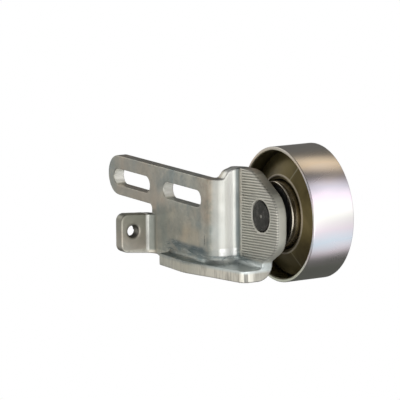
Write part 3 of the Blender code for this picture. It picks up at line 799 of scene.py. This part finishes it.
def cage_steel():
    """Pressed strip of the ball cage."""
    n = Finish("cage steel")
    cloud = n.noise(n.place(), 300.0)
    return n.done(
        Base_Color=n.ramp(cloud, PRESSED_STEEL),
        Roughness=n.vary(cloud, 0.30, 0.42),
        Normal=n.bump(cloud, 0.1, 0.05),
        Metallic=1.0,
    )


def seal_rubber():
    """Matt black rubber with a faint grain."""
    n = Finish("seal rubber")
    cloud = n.noise(n.place(), 700.0)
    return n.done(
        Base_Color=n.ramp(cloud, BLACK_RUBBER),
        Roughness=n.vary(cloud, 0.50, 0.68),
        Normal=n.bump(cloud, 0.25, 0.08),
        Metallic=0.0,
    )


# Each material is named after the slot of the record that it serves
FINISHES = (
    zinc_plate, rim_zinc, web_passivated, dark_steel, bearing_steel, cage_steel, seal_rubber,
)
MATERIALS = {finish.__name__: finish() for finish in FINISHES}


def dress_cad_nodes():
    """Give every CAD node the material of its slot."""
    for row in frame["record"]["subparts"]:
        node = NODES[row["node"]]
        node.data.materials.clear()
        node.data.materials.append(MATERIALS[row["material_slot"]])


# ---------------------------------------------------------------- the bracket

def near_ribs(point):
    """Whether serrations are cut at the point or close to it."""
    if point.x <= RIB_START_X - 1.0 * MM or abs(point.y - RIB_FACE_Y) >= 1.4 * MM:
        return False
    if not RIB_LOWEST - MM < point.z - AXIS_Z < RIB_HIGHEST + 3.0 * MM:
        return False
    return (point - Vector((AXIS_X, point.y, AXIS_Z))).length > RIB_RING_RADIUS - 0.5 * MM


def refine_ribs(mesh):
    """Divide the mesh finely where the serrations will be cut."""
    bm = bmesh.new()
    bm.from_mesh(mesh)
    near = [edge for edge in bm.edges if near_ribs((edge.verts[0].co + edge.verts[1].co) / 2.0)]
    bmesh.ops.subdivide_edges(bm, edges=near, cuts=RIB_CUTS, use_grid_fill=True)
    bm.normal_update()
    bm.to_mesh(mesh)
    bm.free()


def vertex_rows(mesh, name):
    """One row of three numbers for each vertex: its place ("co") or its "normal"."""
    numbers = np.empty(len(mesh.vertices) * 3)
    mesh.vertices.foreach_get(name, numbers)
    return numbers.reshape(-1, 3)


def fade(value, start, end):
    """Smooth rise from 0 at start to 1 at end."""
    share = np.clip((value - start) / (end - start), 0.0, 1.0)
    return share * share * (3.0 - 2.0 * share)


def carve_ribs(mesh):
    """Cut the serrations into the front of the ribbed plate, over its rounded edge as well."""
    place = vertex_rows(mesh, "co")
    normal = vertex_rows(mesh, "normal")
    across = place[:, 0] - AXIS_X
    up = place[:, 2] - AXIS_Z
    row = math.cos(RIB_SLOPE) * up - math.sin(RIB_SLOPE) * across
    away = np.abs(row - RIB_PITCH * np.round(row / RIB_PITCH))
    groove = np.clip(1.0 - away / RIB_HALF_WIDTH, 0.0, 1.0)
    spared = fade(np.hypot(across, up), RIB_RING_RADIUS, RIB_RING_RADIUS + 0.5 * MM)
    begun = fade(place[:, 0], RIB_START_X - 0.2 * MM, RIB_START_X + 0.4 * MM)
    inside = fade(row, RIB_LOWEST, RIB_LOWEST + 0.3 * MM)
    at_face = np.abs(place[:, 1] - RIB_FACE_Y) < 1.5 * MM
    front = fade(-normal[:, 1], 0.15, 0.75) * at_face
    place[:, 1] += RIB_DEPTH * groove * spared * begun * inside * front
    mesh.vertices.foreach_set("co", place.ravel())
    mesh.update()


def fill_coarse_ribs(mesh):
    """Bring the bottoms of the CAD model's coarse serrations up to the plate's face."""
    for vertex in mesh.vertices:
        across, _, up = vertex.co - Vector((AXIS_X, 0.0, AXIS_Z))
        beyond_start = vertex.co.x > RIB_START_X - 0.5 * MM
        outside_ring = math.hypot(across, up) > RIB_RING_RADIUS - 0.1 * MM
        if beyond_start and outside_ring and 0.0 < vertex.co.y - RIB_FACE_Y < 0.5 * MM:
            vertex.co.y = RIB_FACE_Y


def softened(mesh):
    """The mesh rebuilt in small voxels and smoothed, so that its edges and bends are round."""
    soft = bpy.data.objects.new("bracket_soft", mesh)
    bpy.context.scene.collection.objects.link(soft)
    remesh = soft.modifiers.new("remesh", "REMESH")
    remesh.mode = "VOXEL"
    remesh.voxel_size = VOXEL
    ease = soft.modifiers.new("ease", "SMOOTH")
    ease.factor = 0.5
    ease.iterations = EASE_ROUNDS
    return applied(soft)


def make_bracket():
    """The bracket's solid with its sheared edges and bends rounded over, then serrated."""
    plain = NODES["bracket"].data.copy()
    fill_coarse_ribs(plain)
    mesh = softened(plain)
    refine_ribs(mesh)
    carve_ribs(mesh)
    mesh.shade_smooth()
    piece = link("bracket_body", mesh, "mount_bracket", MATERIALS["zinc_plate"])
    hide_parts("bracket")


def thread_rings(bm):
    """The thread's triangular section again and again, wound along X."""
    start = -THREAD_LENGTH / 2.0
    root = THREAD_RADIUS + 0.1 * MM
    section = [
        (root, start - THREAD_HALF_WIDTH),
        (THREAD_RADIUS - THREAD_DEPTH, start),
        (root, start + THREAD_HALF_WIDTH),
    ]
    rings = []
    for i in range(round(THREAD_LENGTH / THREAD_PITCH * THREAD_STEPS) + 1):
        angle = math.tau * i / THREAD_STEPS
        shift = THREAD_PITCH * i / THREAD_STEPS
        ring = []
        for radius, along in section:
            place = (along + shift, radius * math.cos(angle), radius * math.sin(angle))
            ring.append(bm.verts.new(place))
        rings.append(ring)
    return rings


def make_thread():
    """Thread of the tab's hole: a closed triangular ridge."""
    bm = bmesh.new()
    rings = thread_rings(bm)
    for first, second in zip(rings, rings[1:]):
        for k in range(3):
            after = (k + 1) % 3
            bm.faces.new((first[k], first[after], second[after], second[k]))
    bm.faces.new(rings[0][::-1])
    bm.faces.new(rings[-1])
    bmesh.ops.recalc_face_normals(bm, faces=bm.faces)
    bmesh.ops.translate(bm, vec=TAB_MIDDLE, verts=bm.verts)
    mesh = bpy.data.meshes.new("tab_thread")
    bm.to_mesh(mesh)
    bm.free()
    link("tab_thread", mesh, "mount_bracket", MATERIALS["zinc_plate"])


# ---------------------------------------------------------------- turned pieces

def turned_piece(name, profile, body, slot, node, steps=160):
    """Turned piece that stands for a CAD node."""
    mesh = turned_mesh(name, profile, steps)
    piece = link(name, mesh, body, MATERIALS[slot])
    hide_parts(node)
    return piece


def pin_profile():
    """Outline of the pin: end, circlip groove, journal, shoulder, head and centre dimple."""
    shoulder = (PIN_HIGH.x - PIN_LOW.x) / 2.0
    journal = BORE_RADIUS - GAP
    groove = journal - 0.7 * MM
    slack = 0.15 * MM
    front = PIN_LOW.y
    shoulder_front = RIB_FACE_Y + SHEET + GAP
    shoulder_rear = RING_LOW.y - GAP
    return rounded([
        (0.0, PIN_HIGH.y, 0.0),
        (journal, PIN_HIGH.y, 0.8 * MM),
        (journal, CLIP_HIGH.y + slack, 0.0),
        (groove, CLIP_HIGH.y + slack, 0.0),
        (groove, CLIP_LOW.y - slack, 0.0),
        (journal, CLIP_LOW.y - slack, 0.0),
        (journal, shoulder_rear, 0.0),
        (shoulder, shoulder_rear, 0.3 * MM),
        (shoulder, shoulder_front, 0.3 * MM),
        (PIN_HEAD_RADIUS, shoulder_front, 0.0),
        (PIN_HEAD_RADIUS, front, 0.45 * MM),
        (1.5 * MM, front, 0.5 * MM),
        (0.0, front + 0.9 * MM, 0.0),
    ], closed=False, step_degrees=15.0)


def peen_head(mesh):
    """Make the outline of the riveted head slightly uneven, as hammering leaves it."""
    shrink = 0.22
    waves = ((0.10, 3.0, 0.7), (0.07, 7.0, 0.0), (0.05, 12.0, 2.0))
    for vertex in mesh.vertices:
        across, _, up = vertex.co - Vector((AXIS_X, 0.0, AXIS_Z))
        at_rim = math.hypot(across, up) > PIN_HEAD_RADIUS - 1.2 * MM
        if at_rim and vertex.co.y < PIN_LOW.y + 1.0 * MM:
            angle = math.atan2(up, across)
            dent = sum(size * math.sin(count * angle + phase) for size, count, phase in waves)
            scale = 1.0 - (shrink + dent) * MM / PIN_HEAD_RADIUS
            vertex.co.x = AXIS_X + across * scale
            vertex.co.z = AXIS_Z + up * scale


def make_pin():
    """Riveted pin with its dark, hammered head."""
    piece = turned_piece("pin_turned", pin_profile(), "mount_bracket", "dark_steel", "pivot_pin")
    peen_head(piece.data)


def raceway(side):
    """Profile of a ball groove: side is -1 for the inner ring's and 1 for the outer ring's."""
    middle = (RING_LOW.y + RING_HIGH.y) / 2.0
    reach = BALL_CIRCLE_RADIUS - INNER_SHOULDER_RADIUS
    half_width = math.sqrt(TRACK_RADIUS * TRACK_RADIUS - reach * reach)
    points = []
    for i in range(TRACK_POINTS + 1):
        along = half_width * (1.0 - 2.0 * i / TRACK_POINTS)
        depth = math.sqrt(TRACK_RADIUS * TRACK_RADIUS - along * along)
        points.append((BALL_CIRCLE_RADIUS + side * depth, middle - side * along, 0.0))
    return points


def make_inner_ring():
    """Inner ring with its raceway, ground faces and rounded corners."""
    low, high = INNER_LOW.y, INNER_HIGH.y
    profile = rounded([
        (BORE_RADIUS, low, RING_CORNER),
        (BORE_RADIUS, high, RING_CORNER),
        (INNER_SHOULDER_RADIUS, high, 0.15 * MM),
        *raceway(-1),
        (INNER_SHOULDER_RADIUS, low, 0.15 * MM),
    ], step_degrees=18.0)
    turned_piece(
        "inner_ring_turned", profile, "mount_bracket", "bearing_steel", "bearing_inner_ring",
    )


def make_outer_ring():
    """Outer ring with its raceway, the seats of the seals and rounded corners."""
    low, high = RING_LOW.y, RING_HIGH.y
    profile = rounded([
        (BEARING_RADIUS, high, RING_CORNER),
        (BEARING_RADIUS, low, RING_CORNER),
        (OUTER_LIP_RADIUS, low, 0.2 * MM),
        (OUTER_LIP_RADIUS, low + SEAL_ROOM, 0.0),
        (OUTER_SHOULDER_RADIUS, low + SEAL_ROOM, 0.0),
        *raceway(1),
        (OUTER_SHOULDER_RADIUS, high - SEAL_ROOM, 0.0),
        (OUTER_LIP_RADIUS, high - SEAL_ROOM, 0.0),
        (OUTER_LIP_RADIUS, high, 0.2 * MM),
    ], step_degrees=18.0)
    turned_piece("outer_ring_turned", profile, "pulley", "bearing_steel", "bearing_outer_ring")


def seal_profile(face, back):
    """Dished outline with a raised bead at each edge, from the face's y to the back's."""
    low = 10.3 * MM
    high = (SEAL_HIGH.x - SEAL_LOW.x) / 2.0
    dish = 0.35 * MM
    floor = face + (dish if back > face else -dish)
    return rounded([
        (high, back, 0.0),
        (high, face, 0.3 * MM),
        (high - 1.1 * MM, face, 0.2 * MM),
        (high - 1.4 * MM, floor, 0.15 * MM),
        (low + 1.1 * MM, floor, 0.15 * MM),
        (low + 0.8 * MM, face, 0.2 * MM),
        (low, face, 0.2 * MM),
        (low, back, 0.0),
    ], step_degrees=20.0)


def make_seals():
    """The rubber lip seals in front of the balls and behind them."""
    front = seal_profile(SEAL_LOW.y, SEAL_HIGH.y)
    rear = seal_profile(REAR_SEAL_HIGH.y, REAR_SEAL_LOW.y)
    turned_piece("seal_front_turned", front, "pulley", "seal_rubber", "seal_front")
    turned_piece("seal_rear_turned", rear, "pulley", "seal_rubber", "seal_rear")


def make_washer():
    """Thrust washer with broken edges."""
    outer = (WASHER_HIGH.x - WASHER_LOW.x) / 2.0
    edge = 0.2 * MM
    profile = rounded([
        (outer, WASHER_HIGH.y, edge),
        (outer, WASHER_LOW.y, edge),
        (BORE_RADIUS, WASHER_LOW.y, edge),
        (BORE_RADIUS, WASHER_HIGH.y, edge),
    ], step_degrees=30.0)
    turned_piece("washer_turned", profile, "mount_bracket", "bearing_steel", "thrust_washer")


def make_rim():
    """Belt face: a thin ring with rounded edges."""
    wall = 2.0 * MM
    front, rear = RIM_LOW.y, RIM_HIGH.y
    inside = RIM_RADIUS - wall
    edge = 0.45 * MM
    profile = rounded([
        (RIM_RADIUS, rear, edge),
        (RIM_RADIUS, front, edge),
        (inside, front, edge * 1.6),
        (inside, rear, edge * 1.6),
    ], step_degrees=18.0)
    mesh = turned_mesh("rim_shell", profile, 256)
    piece = link("rim_shell", mesh, "pulley", MATERIALS["rim_zinc"])
    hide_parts("pulley_rim")


def make_web():
    """Pressed disc: skirt inside the rim, cone up to the hub's crest, hub tube and rear lip."""
    seat = BEARING_RADIUS + GAP
    crest_y = WEB_LOW.y
    line = rounded([
        (WEB_RADIUS, WEB_HIGH.y, 0.0),
        (WEB_RADIUS, crest_y + 6.2 * MM, 2.4 * MM),
        (seat + 2.6 * MM, crest_y + 0.4 * MM, 1.6 * MM),
        (seat + 0.6 * MM, crest_y, 1.6 * MM),
        (seat, crest_y + 2.85 * MM, 1.6 * MM),
        (seat, RING_HIGH.y + GAP, 0.4 * MM),
        (seat - 2.2 * MM, RING_HIGH.y + GAP, 0.0),
    ], closed=False, step_degrees=9.0)
    mesh = turned_mesh("web_shell", line, 192, sheet=2.0 * MM)
    piece = link("web_shell", mesh, "pulley", MATERIALS["web_passivated"])
    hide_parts("pulley_web")


# ---------------------------------------------------------------- studio

SoftBox = namedtuple("SoftBox", "azimuth elevation full gone colour strength")

# Angles are in degrees, azimuth from +X towards +Y. A box keeps its whole strength up to the angle
# "full" from its middle, and fades to nothing at the angle "gone".
WHITE = (1.0, 1.0, 1.0)
SOFT_BOXES = (
    SoftBox(36.0, 18.0, full=17.0, gone=28.0, colour=WHITE, strength=1.45),
    SoftBox(33.0, -14.0, full=12.0, gone=28.0, colour=WHITE, strength=0.98),
    SoftBox(42.0, -36.0, full=10.0, gone=30.0, colour=(0.96, 0.99, 1.0), strength=1.0),
    SoftBox(44.0, 39.0, full=7.0, gone=15.0, colour=(1.0, 0.94, 0.98), strength=1.25),
    SoftBox(296.0, -8.0, full=22.0, gone=36.0, colour=(1.0, 1.0, 0.97), strength=1.42),
    SoftBox(352.0, -8.0, full=20.0, gone=34.0, colour=(1.0, 1.0, 0.985), strength=2.3),
    SoftBox(100.0, 57.0, full=5.0, gone=21.0, colour=(1.0, 0.93, 0.81), strength=0.92),
    SoftBox(262.0, -8.0, full=10.0, gone=36.0, colour=(1.0, 0.93, 0.80), strength=0.50),
    SoftBox(206.0, 28.0, full=8.0, gone=24.0, colour=(1.0, 0.99, 0.95), strength=1.60),
    SoftBox(214.0, 2.0, full=20.0, gone=50.0, colour=(1.0, 0.995, 0.96), strength=0.60),
    SoftBox(105.0, 0.0, full=12.0, gone=40.0, colour=WHITE, strength=0.60),
)
STUDIO_GREY_BELOW, STUDIO_GREY_ABOVE = 0.10, 0.16


def view_axes():
    """Directions to the camera's right, up and back."""
    azimuth, elevation, roll = map(math.radians, (VIEW_AZIMUTH, VIEW_ELEVATION, VIEW_ROLL))
    back = Vector((
        math.sin(azimuth) * math.cos(elevation),
        -math.cos(azimuth) * math.cos(elevation),
        math.sin(elevation),
    ))
    level = Vector((math.cos(azimuth), math.sin(azimuth), 0.0))
    right = level * math.cos(roll) + back.cross(level) * math.sin(roll)
    return right, back.cross(right), back


def make_camera():
    """Camera at the photograph's viewing angle."""
    right, up, back = view_axes()
    aim = Vector((AXIS_X, RIB_FACE_Y, AXIS_Z))
    place = aim + back * VIEW_DISTANCE + right * VIEW_RIGHT + up * VIEW_UP
    data = bpy.data.cameras.new("camera")
    data.lens = VIEW_LENS
    data.sensor_width = VIEW_SENSOR
    data.clip_end = VIEW_REACH
    camera = bpy.data.objects.new("camera", data)
    turn = Matrix((right, up, back)).transposed().to_4x4()
    camera.matrix_world = Matrix.Translation(place) @ turn
    bpy.context.scene.collection.objects.link(camera)
    bpy.context.scene.camera = camera


def box_light(n, direction, box):
    """The light that one soft box sends from a direction."""
    azimuth, elevation = math.radians(box.azimuth), math.radians(box.elevation)
    middle = (
        math.cos(azimuth) * math.cos(elevation),
        math.sin(azimuth) * math.cos(elevation),
        math.sin(elevation),
    )
    nearness = n.add("ShaderNodeVectorMath", operation="DOT_PRODUCT")
    n.feed(direction, nearness.inputs[0])
    n.feed(middle, nearness.inputs[1])
    gone, full = math.cos(math.radians(box.gone)), math.cos(math.radians(box.full))
    mask = n.span(nearness.outputs["Value"], gone, full, 0.0, 1.0, course="SMOOTHSTEP")
    light = n.add("ShaderNodeVectorMath", operation="SCALE")
    n.feed(tuple(channel * box.strength for channel in box.colour), light.inputs[0])
    n.feed(mask, light.inputs["Scale"])
    return light.outputs["Vector"]


def make_world():
    """Dim grey studio with soft boxes; where two overlap, the brighter one counts."""
    world = bpy.data.worlds.new("studio")
    bpy.context.scene.world = world
    world.use_nodes = True
    n = Nodes(world.node_tree)
    direction = n.add("ShaderNodeTexCoord").outputs["Generated"]
    _, _, height = n.split(direction)
    greys = (STUDIO_GREY_BELOW, STUDIO_GREY_ABOVE)
    total = n.span(height, -0.4, 0.4, *greys, course="SMOOTHSTEP")
    for box in SOFT_BOXES:
        brighter = n.add("ShaderNodeVectorMath", operation="MAXIMUM")
        n.feed(total, brighter.inputs[0])
        n.feed(box_light(n, direction, box), brighter.inputs[1])
        total = brighter.outputs["Vector"]
    n.feed(total, n.tree.nodes["Background"].inputs["Color"])


def white_glow(name):
    """Material that looks white whatever the light."""
    material = bpy.data.materials.new(name)
    material.use_nodes = True
    tree = material.node_tree
    tree.nodes.clear()
    glow = tree.nodes.new("ShaderNodeEmission")
    out = tree.nodes.new("ShaderNodeOutputMaterial")
    glow.inputs["Strength"].default_value = 1.0
    tree.links.new(glow.outputs[0], out.inputs["Surface"])
    return material


def stage_piece(name, height, make, **shape):
    """A white piece of the stage that the metal doesn't mirror: only the camera sees it."""
    bm = bmesh.new()
    make(bm, **shape)
    mesh = bpy.data.meshes.new(name)
    bm.to_mesh(mesh)
    bm.free()
    mesh.materials.append(white_glow(name + " white"))
    thing = bpy.data.objects.new(name, mesh)
    thing.location.z = height
    bpy.context.scene.collection.objects.link(thing)
    thing.visible_glossy = False
    thing.visible_diffuse = False
    thing.visible_shadow = False
    thing.visible_transmission = False


def make_stage():
    """White dome, and a floor low enough to leave the views from below free."""
    sphere, grid = bmesh.ops.create_uvsphere, bmesh.ops.create_grid
    floor_height = cad_box[0].z - FLOOR_DROP
    stage_piece("backdrop", 0.0, sphere, u_segments=48, v_segments=24, radius=DOME_RADIUS)
    stage_piece("floor", floor_height, grid, x_segments=1, y_segments=1, size=FLOOR_HALF_WIDTH)


bpy.context.scene.view_settings.view_transform = "Standard"
dress_cad_nodes()
make_bracket()
make_thread()
make_pin()
make_inner_ring()
make_outer_ring()
make_seals()
make_washer()
make_rim()
make_web()
make_camera()
make_world()
make_stage()
